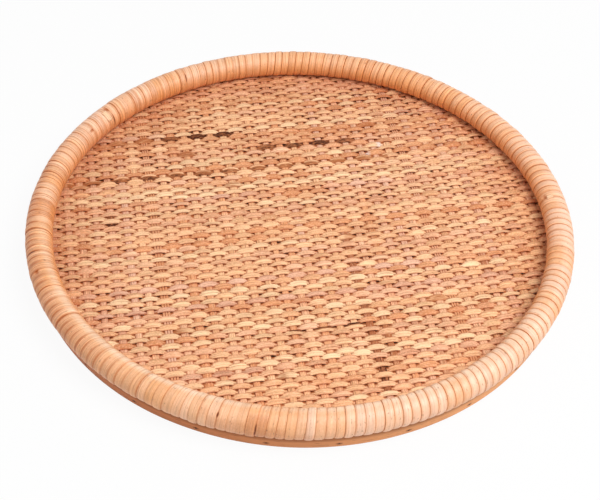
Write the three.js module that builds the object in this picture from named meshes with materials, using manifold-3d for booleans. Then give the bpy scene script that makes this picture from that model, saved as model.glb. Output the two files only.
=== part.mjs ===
// Round rattan tray: a woven panel carried on a two-hoop foot and held down by a cane-wound rim.
// Millimetres, +Z up, origin on the table at the middle of the tray.
import * as THREE from 'three';
import { mergeVertices } from 'three/addons/utils/BufferGeometryUtils.js';
import Module from 'manifold-3d';

// Driving dimensions: the rim
const trayDiameter = 320; // over the wound rim
const poleDiameter = 12.6; // rattan pole bent round inside the rim
const poleSeat = 0.8; // planed off the pole's underside, so that the rim sits flat
const poleScarf = 25; // length of the slanted splice that closes the pole
const poleScarfAngle = 182;
const caneWidth = 4;
const caneThickness = 1.2;
const caneGap = 0.5; // least space between two turns, on the inside of the ring
const turnsPerLength = 24; // the most turns that one length of cane makes
const caneCorners = 7; // corners of one turn round the pole

// Driving dimensions: the woven panel
const panelThickness = 2; // over the tops of the raised strips
const stakePitch = 8.44; // from one flat stake to the next, across the tray
const weaverPitch = 3.3; // from one weaver to the next, front to back
const weaverGap = 0.5; // between the edges of two weavers
const stripsInOne = 2; // strips of the weave that one strip of the relief stands for, each way
const weaveRelief = 1.2; // from the top of a raised strip down to where it dips under a stake
const weaveTurn = 11.4; // degrees that the weave is turned in the tray

// Driving dimensions: the foot
const footHeight = 9.7;
const footInset = 4.7; // from the rim's outer edge in to the foot's face
const footHoopThickness = 3.6;
const footHoopRound = 1.2; // rounding of the foot's outer edges
const ledgeThickness = 5.4;
const ledgeBevel = 1; // taken off the ledge's lower inner edge
const footScarf = 22; // length of the slanted splice that closes each foot hoop
const footScarfAngle = 92;

// Driving dimensions: the pins and the fits
const pinDiameter = 1.2;
const pinPoint = 1.5; // length of the pin's tapered tip
const pinBackWall = 1.6; // rattan left in the ledge behind each pin's hole
const pinHeight = 3;
const pinSpacing = 37.6; // along the foot's face
const pinSides = 8;
const clearance = 0.3; // between pieces that seat on each other
const spliceGap = 0.5; // between the two ends of a bent hoop
const facetError = 0.08; // furthest that a straight facet lies inside its round

// Radii and heights that follow from them
const poleRadius = poleDiameter / 2;
const caneBase = poleRadius + clearance;
const caneCrown = caneBase + caneThickness;
const rimRadius = trayDiameter / 2 - caneCrown;
const seatDepth = poleRadius - poleSeat;
const seatHalfAngle = Math.acos(seatDepth / poleRadius);
const rimHeight = footHeight + clearance + seatDepth * caneCrown / poleRadius;
const footRadius = trayDiameter / 2 - footInset;
const footInner = footRadius - footHoopThickness;
const ledgeRadius = footInner - clearance;
const ledgeInner = ledgeRadius - ledgeThickness;
const ledgeHeight = footHeight - panelThickness - clearance;
const hoopSteps = Math.ceil(Math.PI / Math.acos(1 - facetError / footRadius));
const pinCount = Math.round(2 * Math.PI * footRadius / pinSpacing);
const pinStep = 2 * Math.PI / pinCount;
const pinLength = footHoopThickness + ledgeThickness - pinBackWall;

const rattan = { roughness: 0.55, metalness: 0 };
const caneFinish = new THREE.MeshStandardMaterial({ color: 0xe6b886, ...rattan });
const poleFinish = new THREE.MeshStandardMaterial({ color: 0xc99662, ...rattan });
const footFinish = new THREE.MeshStandardMaterial({ color: 0xb9794a, ...rattan });
const ledgeFinish = new THREE.MeshStandardMaterial({ color: 0xa86f45, ...rattan });
const panelFinish = new THREE.MeshStandardMaterial({ color: 0xcf9159, roughness: 0.65, metalness: 0 });
const pinFinish = new THREE.MeshStandardMaterial({ color: 0x3a322c, roughness: 0.45, metalness: 0.8 });

const wasm = await Module();
wasm.setup();

function toSolid(geometry) {
  const bare = geometry.clone();
  bare.deleteAttribute('normal');
  bare.deleteAttribute('uv');
  const merged = mergeVertices(bare, 1e-4);
  const vertProperties = new Float32Array(merged.attributes.position.array);
  const triVerts = new Uint32Array(merged.index.array);
  return new wasm.Manifold(new wasm.Mesh({ numProp: 3, vertProperties, triVerts }));
}

function toGeometry(solid) {
  const { vertProperties, triVerts } = solid.getMesh();
  const geometry = new THREE.BufferGeometry();
  geometry.setAttribute('position', new THREE.BufferAttribute(vertProperties, 3));
  geometry.setIndex(new THREE.BufferAttribute(triVerts, 1));
  geometry.computeVertexNormals();
  return geometry;
}

// A straight strip with slanted ends, bent into a hoop. The section's x is the distance from the tray's axis
// and its y the height. Every cross-section leans by the scarf, so that the two ends lie on each other.
function bentHoop(section, inner, outer, scarf, scarfAngle) {
  const middle = (inner + outer) / 2;
  const lean = scarf / middle / (outer - inner);
  const sweep = 2 * Math.PI - spliceGap * Math.hypot(1, scarf / (outer - inner)) / middle;
  const strip = new THREE.ExtrudeGeometry(section, { depth: sweep, steps: hoopSteps, bevelEnabled: false });
  const points = strip.attributes.position;
  const start = THREE.MathUtils.degToRad(scarfAngle) + sweep / 2 + Math.PI;
  for (let i = 0; i < points.count; i += 1) {
    const radius = points.getX(i);
    const turn = start - points.getZ(i) + lean * (radius - middle);
    points.setXYZ(i, radius * Math.cos(turn), radius * Math.sin(turn), points.getY(i));
  }
  return strip;
}

// Corners of the rim's round section with its flat seat below, from the seat's outer end over the top
function rimCorners(radius) {
  const first = seatHalfAngle - Math.PI / 2;
  const step = (2 * Math.PI - 2 * seatHalfAngle) / (caneCorners - 1);
  const corners = [];
  for (let i = 0; i < caneCorners; i += 1) {
    const angle = first + i * step;
    corners.push(new THREE.Vector2(radius * Math.cos(angle), radius * Math.sin(angle)));
  }
  return corners;
}

function rimPole() {
  const place = new THREE.Vector2(rimRadius, rimHeight);
  const section = new THREE.Shape(rimCorners(poleRadius).map((corner) => corner.add(place)));
  return bentHoop(section, rimRadius - poleRadius, rimRadius + poleRadius, poleScarf, poleScarfAngle);
}

function footHoop() {
  const round = footHoopRound;
  const section = new THREE.Shape();
  section.moveTo(footInner, 0);
  section.lineTo(footRadius - round, 0);
  section.absarc(footRadius - round, round, round, -Math.PI / 2, 0);
  section.absarc(footRadius - round, footHeight - round, round, 0, Math.PI / 2);
  section.lineTo(footInner, footHeight);
  const outline = new THREE.Shape(section.getPoints(2));
  return bentHoop(outline, footInner, footRadius, footScarf, footScarfAngle);
}

function footLedge() {
  const section = new THREE.Shape();
  section.moveTo(ledgeInner + ledgeBevel, 0);
  section.lineTo(ledgeRadius, 0);
  section.lineTo(ledgeRadius, ledgeHeight);
  section.lineTo(ledgeInner, ledgeHeight);
  section.lineTo(ledgeInner, ledgeBevel);
  const oppositeScarf = footScarfAngle + THREE.MathUtils.radToDeg(Math.floor(pinCount / 2) * pinStep);
  return bentHoop(section, ledgeInner, ledgeRadius, footScarf, oppositeScarf);
}

// The mat, in plain weave: each weaver rises over one stake and dips under the next, in turn with the
// weavers beside it. The woven sheet is cut round, and is flat below where it lies on the ledge.
function wovenPanel() {
  const stakeStep = stakePitch * stripsInOne;
  const weaverStep = weaverPitch * stripsInOne;
  const halfWidth = (weaverStep - weaverGap * stripsInOne) / 2;
  const stakes = 2 * Math.ceil(ledgeRadius / stakeStep);
  const weavers = 2 * Math.ceil(ledgeRadius / weaverStep);
  const lastEdge = 2 * weavers - 1;
  const sheet = new THREE.BoxGeometry(stakes * stakeStep, lastEdge, 2 * panelThickness, stakes, lastEdge, 1);
  sheet.translate(0, lastEdge / 2, -panelThickness / 2);
  const points = sheet.attributes.position;
  for (let i = 0; i < points.count; i += 1) {
    const stake = Math.round(points.getX(i) / stakeStep);
    const edge = Math.round(points.getY(i));
    const weaver = Math.floor(edge / 2) - weavers / 2;
    const side = edge % 2 === 0 ? -halfWidth : halfWidth;
    points.setY(i, (weaver + 0.5) * weaverStep + side);
    const dips = (stake + weaver) % 2 !== 0;
    if (dips && points.getZ(i) > 0) points.setZ(i, panelThickness / 2 - weaveRelief);
  }
  sheet.rotateZ(THREE.MathUtils.degToRad(weaveTurn));
  const round = new THREE.CylinderGeometry(ledgeRadius, ledgeRadius, 2 * panelThickness, hoopSteps);
  round.rotateX(Math.PI / 2);
  round.translate(0, 0, panelThickness / 2);
  return toGeometry(toSolid(sheet).intersect(toSolid(round)));
}

// A pin points along +Y, with its blunt end at the origin
function pin() {
  const radius = pinDiameter / 2;
  const outline = [[0, 0], [radius, 0], [radius, pinLength - pinPoint], [0, pinLength]];
  return new THREE.LatheGeometry(outline.map(([x, y]) => new THREE.Vector2(x, y)), pinSides);
}

// Room for a pin, reaching as far out of the foot as into it
function pinHole() {
  const radius = pinDiameter / 2 + clearance;
  return new THREE.CylinderGeometry(radius, radius, 2 * (pinLength + clearance), pinSides);
}

// Turns a piece that points along +Y so that it points at the tray's axis, at pin k's place on the foot
function pinPlace(k) {
  const angle = THREE.MathUtils.degToRad(footScarfAngle) + (k + 0.5) * pinStep;
  const place = new THREE.Matrix4().makeTranslation(footRadius, 0, pinHeight);
  const inward = new THREE.Matrix4().makeRotationZ(Math.PI / 2);
  return new THREE.Matrix4().makeRotationZ(angle).multiply(place).multiply(inward);
}

function drilled(geometry) {
  let solid = toSolid(geometry);
  for (let k = 0; k < pinCount; k += 1) {
    solid = solid.subtract(toSolid(pinHole().applyMatrix4(pinPlace(k))));
  }
  return toGeometry(solid);
}

// Counts of the winding: whole turns in equal lengths of cane, each starting and ending under the rim
const turnsThatFit = Math.floor(2 * Math.PI * (rimRadius - caneBase) / (caneWidth + caneGap));
const lengthCount = Math.ceil(turnsThatFit / turnsPerLength);
const turnCount = Math.floor(turnsThatFit / lengthCount);
const turnAngle = 2 * Math.PI / (turnCount * lengthCount);

// Route of one length of cane: at each corner, the distance round the section as a share of a turn
function caneRoute() {
  const corners = rimCorners(1);
  const underEnd = caneGap / 2 / caneBase;
  const under = -seatDepth / poleRadius;
  const route = [{ turn: 0, at: new THREE.Vector2(underEnd, under) }];
  for (let turn = 0; turn < turnCount; turn += 1) {
    for (let i = 0; i < caneCorners; i += 1) {
      const angle = Math.atan2(corners[i].x, -corners[i].y);
      const share = (angle / (2 * Math.PI) + 1) % 1;
      route.push({ turn: turn + share, at: corners[i] });
    }
  }
  route.push({ turn: turnCount, at: new THREE.Vector2(-underEnd, under) });
  return route;
}

function roundTheTray(section, scale, turn, sideways) {
  const radius = rimRadius + section.x * scale;
  const angle = turn * turnAngle + sideways / radius;
  return [radius * Math.cos(angle), radius * Math.sin(angle), rimHeight + section.y * scale];
}

// One length of split cane, flat against the pole and crowned outside, wound as an unbroken strip
function caneLength(index) {
  const positions = [];
  const triangles = [];
  const route = caneRoute();
  route.forEach(({ turn, at }, step) => {
    const along = index * turnCount + turn;
    positions.push(...roundTheTray(at, caneBase, along, -caneWidth / 2));
    positions.push(...roundTheTray(at, caneBase, along, caneWidth / 2));
    positions.push(...roundTheTray(at, caneCrown, along, 0));
    if (step === 0) return;
    const now = 3 * step;
    for (let side = 0; side < 3; side += 1) {
      const next = (side + 1) % 3;
      triangles.push(now - 3 + side, now + next, now - 3 + next);
      triangles.push(now - 3 + side, now + side, now + next);
    }
  });
  const last = 3 * (route.length - 1);
  triangles.push(0, 1, 2, last, last + 2, last + 1);
  const cane = new THREE.BufferGeometry();
  cane.setAttribute('position', new THREE.Float32BufferAttribute(positions, 3));
  cane.setIndex(triangles);
  cane.computeVertexNormals();
  return cane;
}

// Least gap between two turns, measured between the strip's facing edges at every corner
function leastTurnGap(cane) {
  const points = cane.attributes.position;
  const edge = new THREE.Vector3();
  const facing = new THREE.Vector3();
  let least = Infinity;
  for (let corner = 1; corner + caneCorners < points.count / 3 - 1; corner += 1) {
    edge.fromBufferAttribute(points, 3 * corner + 1);
    for (let near = corner + caneCorners - 1; near <= corner + caneCorners; near += 1) {
      facing.fromBufferAttribute(points, 3 * near);
      least = Math.min(least, edge.distanceTo(facing));
    }
  }
  return least;
}

const tray = new THREE.Group();

function addPiece(name, geometry, finish) {
  const piece = new THREE.Mesh(geometry, finish.clone());
  piece.name = name;
  tray.add(piece);
  return piece;
}

addPiece('foot_outer_hoop', drilled(footHoop()), footFinish);
addPiece('foot_inner_ledge', drilled(footLedge()), ledgeFinish);
addPiece('woven_panel', wovenPanel(), panelFinish).position.z = footHeight - panelThickness / 2;
addPiece('rim_pole', rimPole(), poleFinish);
for (let index = 0; index < lengthCount; index += 1) {
  const cane = caneLength(index);
  addPiece(`cane_winding_${index + 1}`, cane, caneFinish);
  console.log(`cane length ${index + 1}: ${turnCount} turns, least gap ${leastTurnGap(cane).toFixed(2)} mm`);
}
for (let k = 0; k < pinCount; k += 1) {
  const number = String(k + 1).padStart(2, '0');
  const piece = addPiece(`foot_pin_${number}`, pin(), pinFinish);
  pinPlace(k).decompose(piece.position, piece.quaternion, piece.scale);
}

export default tray;
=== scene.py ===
import math

import bpy
import numpy as np
from mathutils import Matrix, Vector


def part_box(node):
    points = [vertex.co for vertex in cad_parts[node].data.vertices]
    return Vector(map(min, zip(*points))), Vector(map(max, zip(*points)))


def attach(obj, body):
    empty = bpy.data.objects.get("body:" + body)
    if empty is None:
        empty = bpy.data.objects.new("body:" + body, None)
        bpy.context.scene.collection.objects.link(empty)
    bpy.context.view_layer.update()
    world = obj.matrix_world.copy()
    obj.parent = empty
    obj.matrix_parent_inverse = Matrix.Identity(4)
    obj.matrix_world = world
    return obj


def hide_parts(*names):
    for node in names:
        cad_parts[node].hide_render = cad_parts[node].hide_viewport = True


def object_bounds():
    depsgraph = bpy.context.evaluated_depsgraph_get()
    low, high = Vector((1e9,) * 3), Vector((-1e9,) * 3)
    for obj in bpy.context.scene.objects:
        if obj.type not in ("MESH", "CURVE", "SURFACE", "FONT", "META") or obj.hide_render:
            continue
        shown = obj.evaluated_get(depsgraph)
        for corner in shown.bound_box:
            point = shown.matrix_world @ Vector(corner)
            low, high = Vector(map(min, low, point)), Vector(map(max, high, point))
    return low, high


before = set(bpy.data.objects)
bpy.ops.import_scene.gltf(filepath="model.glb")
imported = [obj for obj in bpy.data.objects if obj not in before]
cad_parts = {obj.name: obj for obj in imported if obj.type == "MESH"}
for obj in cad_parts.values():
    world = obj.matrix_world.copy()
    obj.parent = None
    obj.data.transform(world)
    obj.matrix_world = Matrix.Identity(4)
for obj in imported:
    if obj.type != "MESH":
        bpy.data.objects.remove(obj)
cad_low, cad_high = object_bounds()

scene = bpy.context.scene

# Table
# The tray stands on a matt white sheet that runs far past it on every side. Round the tray the sheet shows as
# plain white with a faint shadow, and under the tray it takes the full shade.
sheet_half = 6.0
sheet_white = (0.80, 0.80, 0.80, 1)
pure_white = (1, 1, 1, 1)
sheet_glow = 0.93
shade_inset = 0.002
shade_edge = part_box("foot_outer_hoop")[1].x - shade_inset


class Socket:
    """One output of a finish's nodes. Python's operators on it add Math nodes."""

    def __init__(self, finish, output):
        self.finish = finish
        self.output = output

    def maths(self, operation, first, second=0.0):
        return self.finish.node("Math", {"operation": operation}, {0: first, 1: second})

    def __add__(self, other):
        return self.maths("ADD", self, other)

    def __sub__(self, other):
        return self.maths("SUBTRACT", self, other)

    def __rsub__(self, other):
        return self.maths("SUBTRACT", other, self)

    def __mul__(self, other):
        return self.maths("MULTIPLY", self, other)

    def __pow__(self, other):
        return self.maths("POWER", self, other)

    def __mod__(self, other):
        return self.maths("FLOORED_MODULO", self, other)

    def __abs__(self):
        return self.maths("ABSOLUTE", self)

    __radd__ = __add__
    __rmul__ = __mul__


class Shading:
    """A node tree, emptied but for its output, with one method that adds any node to it."""

    def __init__(self, tree, output):
        self.tree = tree
        self.tree.nodes.clear()
        self.output = self.tree.nodes.new("ShaderNodeOutput" + output)

    def node(self, kind, settings, inputs, output=0):
        made = self.tree.nodes.new("ShaderNode" + kind)
        for setting, value in settings.items():
            setattr(made, setting, value)
        for socket, value in inputs.items():
            self.feed(made.inputs[socket], value)
        return Socket(self, made.outputs[output])

    def feed(self, socket, value):
        if isinstance(value, Socket):
            self.tree.links.new(value.output, socket)
        else:
            socket.default_value = value

    def surface(self, shader):
        self.feed(self.output.inputs["Surface"], shader)

    def background_share(self):
        """1 for the rays that show what lies behind: those of the camera, of gloss and of clear bodies."""
        rays = ["Is Camera Ray", "Is Glossy Ray", "Is Transmission Ray"]
        return sum(self.node("LightPath", {}, {}, ray) for ray in rays)


class Finish(Shading):
    """A named material with one shader."""

    def __init__(self, name, shader="BsdfPrincipled", **constants):
        self.material = bpy.data.materials.new(name)
        self.material.use_nodes = True
        super().__init__(self.material.node_tree, "Material")
        self.shader = self.node(shader, {}, {key.replace("_", " "): constants[key] for key in constants})
        self.surface(self.shader)

    def varies(self, **sockets):
        for name, value in sockets.items():
            self.feed(self.shader.output.node.inputs[name.replace("_", " ")], value)


white_sheet = Finish("white_sheet", "BsdfDiffuse", Color=sheet_white)
sheet_shine = white_sheet.node("Emission", {}, {"Color": pure_white, "Strength": 1.0})
sheet_place = white_sheet.node("NewGeometry", {}, {}, "Position")
from_middle = white_sheet.node("VectorMath", {"operation": "LENGTH"}, {0: sheet_place}, "Value")
clear_of_tray = white_sheet.node("Math", {"operation": "GREATER_THAN"}, {0: from_middle, 1: shade_edge})
shown_white = white_sheet.background_share() * clear_of_tray * sheet_glow
sheet_look = white_sheet.node("MixShader", {}, {0: shown_white, 1: white_sheet.shader, 2: sheet_shine})
white_sheet.surface(sheet_look)
sheet_mesh = bpy.data.meshes.new("table_sheet")
sheet_corners = [(-1, -1), (1, -1), (1, 1), (-1, 1)]
sheet_mesh.from_pydata([(x * sheet_half, y * sheet_half, 0) for x, y in sheet_corners], [], [(0, 1, 2, 3)])
sheet_mesh.materials.append(white_sheet.material)
sheet = bpy.data.objects.new("table_sheet", sheet_mesh)
scene.collection.objects.link(sheet)

# Foot hoop
# A smooth strip of rattan, steamed, bent into a ring and closed with a long slanted splice. It carries the
# tray, and its planed face shows as a brown band under the rim.
hoop_low, hoop_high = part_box("foot_outer_hoop")
hoop_outer = hoop_high.x
hoop_height = hoop_high.z - hoop_low.z
hoop_thickness = 0.0036
hoop_middle = hoop_outer - hoop_thickness / 2
hoop_round = 0.0012
hoop_inner_round = 0.0003
hoop_splice = 0.022
hoop_splice_azimuth = math.radians(92)
splice_gap = 0.0005
hoop_sway = 0.00012
hoop_sway_length = 0.05
ring_steps = 360
ring_bake_rows = 12
bake_margin = 0.04
# Painted light: the hoop's tone runs from brown to a lighter tone on the side that faces the key lamp.
hoop_brown = np.array((0.59, 0.180, 0.065))
hoop_lit_tone = np.array((0.86, 0.41, 0.18))
hoop_lamp_side_azimuth = math.radians(-40)
hoop_lit_power = 3
hoop_dark = (0.22, 0.058, 0.018, 1)
hoop_gloss = 0.15
hoop_grain = (25, 1400, 900)
hoop_cloud = (18, 90, 90)
hoop_pores = (160, 2600, 1500)
pore_strength = 0.55
# Painted shade along the top of the band, under the rim: where it starts, where it is full, its strength
top_shade_start = 0.0042
top_shade_full = 0.0072
top_shade_strength = 0.6
pin_count = 26
pin_height = 0.003
pin_stain_core = 0.0003
pin_stain_edge = 0.0011
pin_stain_stretch = 0.2
pin_stain_strength = 0.75
unmarked = (0, 0, 0)


def eased(part):
    """A part from 0 to 1 that starts and ends gently."""
    return part * part * (3 - 2 * part)


def mixed(first, second, share):
    """The first tone turned into the second by the share at each point."""
    share = np.asarray(share)[..., None]
    return first * (1 - share) + second * share


def smooth_noise(draw, places, spacing):
    """Gentle random values at the places, about -1 to 1, with a fresh draw every spacing."""
    knots = np.asarray(places) / spacing
    first = int(np.floor(knots.min()))
    count = int(np.ceil(knots.max())) - first + 2
    values = draw.normal(0, 0.5, count)
    below = np.floor(knots).astype(int)
    ease = eased(knots - below)
    below = np.clip(below - first, 0, len(values) - 2)
    return values[below] * (1 - ease) + values[below + 1] * ease


def swept_piece(name, runs, finish, bake_rows=1):
    """One object of closed strips with flat ends. A run holds its rings of points and, for each point, its
    place along, across and among the strips, its tone, and its wear and shade: how deep in a darkened edge,
    how streaky and how stained or painted with shade it is. A long run folds into bake_rows rows of the
    piece's bake map."""
    corners, places, tones, wears_and_shades, faces, smooth, maps = [], [], [], [], [], [], []
    total_rows = bake_rows * len(runs)
    used = 0
    for row, (points, place, tone, wear_and_shade) in enumerate(runs):
        rings, sides = points.shape[:2]
        ring = np.arange(rings - 1)[:, None]
        side = np.arange(sides)[None, :]
        next_side = (side + 1) % sides
        quads = np.stack(
            [
                ring * sides + side,
                ring * sides + next_side,
                (ring + 1) * sides + next_side,
                (ring + 1) * sides + side,
            ],
            axis=-1,
        ).reshape(-1, 4)
        step = bake_rows / (rings - 1)
        fold = ring * bake_rows / (rings - 1)
        folded = np.floor(fold)
        along = np.broadcast_to(fold - folded, (rings - 1, sides))
        bake_row = row * bake_rows + folded + bake_margin
        side_step = (1 - 2 * bake_margin) / sides
        low = (bake_row + side_step * side) / total_rows
        high = (bake_row + side_step * (side + 1)) / total_rows
        quad_maps = np.stack(
            [
                np.stack([along, low], -1),
                np.stack([along, high], -1),
                np.stack([along + step, high], -1),
                np.stack([along + step, low], -1),
            ],
            axis=2,
        )
        start_map = np.stack([along[0], low[0]], -1)
        end_map = np.stack([along[-1] + step, low[-1]], -1)
        faces += (quads + used).tolist()
        faces.append((used + np.arange(sides)[::-1]).tolist())
        faces.append((used + (rings - 1) * sides + np.arange(sides)).tolist())
        smooth += [True] * len(quads) + [False, False]
        maps += [quad_maps.reshape(-1, 2), start_map[::-1], end_map]
        corners.append(points.reshape(-1, 3))
        places.append(np.broadcast_to(place, points.shape).reshape(-1, 3))
        tones.append(np.broadcast_to(tone, points.shape).reshape(-1, 3))
        wears_and_shades.append(np.broadcast_to(wear_and_shade, points.shape).reshape(-1, 3))
        used += rings * sides
    mesh = bpy.data.meshes.new(name)
    mesh.from_pydata(np.concatenate(corners).tolist(), [], faces)
    mesh.polygons.foreach_set("use_smooth", smooth)
    for label, values in (("strip_place", places), ("strip_tone", tones), ("strip_wear_and_shade", wears_and_shades)):
        layer = mesh.attributes.new(label, "FLOAT_VECTOR", "POINT")
        layer.data.foreach_set("vector", np.concatenate(values).astype(np.float32).ravel())
    bake_map = mesh.uv_layers.new(name="OFBake")
    bake_map.data.foreach_set("uv", np.concatenate(maps).astype(np.float32).ravel())
    mesh.materials.append(finish.material)
    piece = bpy.data.objects.new(name, mesh)
    scene.collection.objects.link(piece)
    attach(piece, "root")
    return piece


def rounded_section(width, height, rounds, points=4):
    """Outline of a width by height section, anticlockwise from the low left, each corner with its round."""
    outline = []
    corners = ((0, 0, 180), (width, 0, 270), (width, height, 0), (0, height, 90))
    for radius, (x, y, start) in zip(rounds, corners):
        middle_x = x + radius * (1 if x == 0 else -1)
        middle_y = y + radius * (1 if y == 0 else -1)
        for step in range(points):
            turn = math.radians(start + 90 * step / (points - 1))
            outline.append((middle_x + radius * math.cos(turn), middle_y + radius * math.sin(turn)))
    return np.array(outline)


def bent_hoop(section, inner_radius, splice_azimuth, light_azimuth, draw):
    """A section bent into a ring with slanted ends and a lighter stretch, as a run for swept_piece."""
    section_width = section[:, 0].max()
    mid_radius = inner_radius + section_width / 2
    span = 2 * math.pi - splice_gap / mid_radius * hoop_splice / section_width
    azimuths = splice_azimuth - np.linspace(0, span, ring_steps + 1)
    slant = (section[:, 0] / section_width - 0.5) * hoop_splice / mid_radius
    turned = azimuths[:, None] + slant[None, :]
    sway = hoop_sway * smooth_noise(draw, azimuths * mid_radius, hoop_sway_length)[:, None]
    radius = inner_radius + section[None, :, 0] + sway
    depth = np.broadcast_to(section[None, :, 0], radius.shape)
    height = np.broadcast_to(section[None, :, 1], radius.shape)
    points = np.stack([radius * np.cos(turned), radius * np.sin(turned), height], -1)
    place = np.stack([turned * mid_radius, height, depth], -1)
    # Lighter round the light azimuth; on the foot hoop this is painted light on the key lamp's side.
    share = (0.5 + 0.5 * np.cos(turned - light_azimuth)) ** hoop_lit_power
    return points, place, mixed(hoop_brown, hoop_lit_tone, share), unmarked


def dimmed(finish, colour, amount):
    return finish.node("VectorMath", {"operation": "SCALE"}, {0: colour, "Scale": amount})


def blended(finish, share, first, second):
    return finish.node("Mix", {"data_type": "RGBA"}, {0: share, 6: first, 7: second}, 2)


def noise(finish, place, stretch, detail, roughness=0.5):
    """Noise over a place, as fine along each of its axes as the stretch says."""
    stretched = finish.node("VectorMath", {"operation": "MULTIPLY"}, {0: place, 1: stretch})
    inputs = {"Vector": stretched, "Scale": 1.0, "Detail": detail, "Roughness": roughness}
    return finish.node("TexNoise", {}, inputs, "Fac")


def ramp(finish, value, start, end):
    settings = {"interpolation_type": "SMOOTHSTEP"}
    return finish.node("MapRange", settings, {"Value": value, "From Min": start, "From Max": end})


def attribute(finish, name):
    return finish.node("Attribute", {"attribute_name": name}, {}, "Vector")


def roughened(finish, height, strength, depth):
    return finish.node("Bump", {}, {"Height": height, "Strength": strength, "Distance": depth}, "Normal")


def planed_rattan(name, pin_stains):
    """Planed rattan with long grain and pores, painted shade near its top, and rust round the pins where
    asked.
    """
    finish = Finish(name, Specular_IOR_Level=hoop_gloss)
    place = attribute(finish, "strip_place")
    along = finish.node("SeparateXYZ", {}, {0: place}, "X")
    height = finish.node("SeparateXYZ", {}, {0: place}, "Y")
    grain = noise(finish, place, hoop_grain, 4.0, 0.6)
    cloud = noise(finish, place, hoop_cloud, 3.0)
    pores = ramp(finish, noise(finish, place, hoop_pores, 1.0), 0.62, 0.74)
    # Painted shade: the band darkens towards its top, where the rim overhangs it.
    top_shade = ramp(finish, height, top_shade_start, top_shade_full)
    colour = dimmed(finish, attribute(finish, "strip_tone"), 0.62 + 0.42 * grain + 0.34 * cloud)
    colour = blended(finish, pore_strength * pores, colour, hoop_dark)
    colour = blended(finish, top_shade_strength * top_shade, colour, hoop_dark)
    if pin_stains:
        pin_spacing = 2 * math.pi * hoop_middle / pin_count
        beside = (along - hoop_splice_azimuth * hoop_middle) % pin_spacing - pin_spacing / 2
        above = height - pin_height
        distance = (pin_stain_stretch * beside * beside + above * above) ** 0.5
        stain_or_shade = 1 - ramp(finish, distance, pin_stain_core, pin_stain_edge)
        colour = blended(finish, pin_stain_strength * stain_or_shade, colour, hoop_dark)
    finish.varies(
        Base_Color=colour,
        Roughness=0.40 + 0.22 * grain,
        Normal=roughened(finish, grain - 0.6 * pores, 0.35, 0.0002),
    )
    return finish


foot_finish = planed_rattan("foot_hoop_rattan", True)
hoop_rounds = (hoop_inner_round, hoop_round, hoop_round, hoop_inner_round)
hoop_section = rounded_section(hoop_thickness, hoop_height, hoop_rounds)
foot_draw = np.random.default_rng(11)
hoop_run = bent_hoop(
    hoop_section, hoop_outer - hoop_thickness, hoop_splice_azimuth, hoop_lamp_side_azimuth, foot_draw
)
foot_hoop = swept_piece("bent_foot_hoop", [hoop_run], foot_finish, ring_bake_rows)
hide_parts("foot_outer_hoop")

# Ledge
# A second, thicker ring of rattan inside the foot hoop, eased along its inner edges. The panel's edge lies on
# it and the pins bite into it, so it shows only from below.
ledge_low, ledge_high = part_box("foot_inner_ledge")
ledge_outer = ledge_high.x
ledge_height = ledge_high.z - ledge_low.z
ledge_thickness = 0.0054
ledge_round = 0.001
ledge_outer_round = 0.0002
ledge_splice_azimuth = hoop_splice_azimuth + math.pi
ledge_light_azimuth = math.radians(120)
ledge_rounds = (ledge_round, ledge_outer_round, ledge_outer_round, ledge_round)
ledge_section = rounded_section(ledge_thickness, ledge_height, ledge_rounds)
ledge_finish = planed_rattan("ledge_rattan", False)
ledge_run = bent_hoop(
    ledge_section, ledge_outer - ledge_thickness, ledge_splice_azimuth, ledge_light_azimuth, foot_draw
)
ledge = swept_piece("bent_ledge", [ledge_run], ledge_finish, ring_bake_rows)
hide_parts("foot_inner_ledge")

# Foot pins
# Short iron pins driven in from outside, all round at one height, that hold the foot hoop to the ledge. Their
# blunt ends stay in the hoop's face as small dark dots.
pin_radius = 0.0006
pin_length = 0.0074
pin_tip_radius = 0.00012
pin_taper = 0.0015
pin_crown = 0.00015
pin_crown_shares = ((0.0, 0.9), (0.7, 0.55), (1.0, 0.12))
pin_sides = 12
pin_black = (0.075, 0.032, 0.018, 1)
pin_rust = (0.13, 0.050, 0.022, 1)
rust_grain = (3500, 3500, 3500)
straight_up = np.array([0.0, 0.0, 1.0])

pin_finish = Finish("pin_iron", Metallic=0.6, Specular_IOR_Level=0.5)
pin_place = attribute(pin_finish, "strip_place")
rust = ramp(pin_finish, noise(pin_finish, pin_place, rust_grain, 3.0), 0.42, 0.66)
pin_finish.varies(
    Base_Color=blended(pin_finish, rust, pin_black, pin_rust),
    Roughness=0.42 + 0.4 * rust,
    Normal=roughened(pin_finish, rust, 0.4, 0.0001),
)
pin_profile = [(-pin_length, pin_tip_radius), (-pin_length + pin_taper, pin_radius), (-pin_crown, pin_radius)]
pin_profile += [(pin_crown * out, pin_radius * wide) for out, wide in pin_crown_shares]
pin_turns = np.linspace(0, 2 * math.pi, pin_sides, endpoint=False)[:, None]
pin_runs = []
for number in range(pin_count):
    azimuth = hoop_splice_azimuth + (number + 0.5) * 2 * math.pi / pin_count
    outward = np.array([math.cos(azimuth), math.sin(azimuth), 0])
    beside = np.array([-math.sin(azimuth), math.cos(azimuth), 0])
    circle = np.cos(pin_turns) * beside + np.sin(pin_turns) * straight_up
    on_face = outward * hoop_outer + straight_up * pin_height
    pin_points = np.array([on_face + outward * out + circle * size for out, size in pin_profile])
    pin_runs.append((pin_points, pin_points, unmarked, unmarked))
pins = swept_piece("foot_pins", pin_runs, pin_finish)
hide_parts(*(f"foot_pin_{number + 1:02d}" for number in range(pin_count)))

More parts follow.
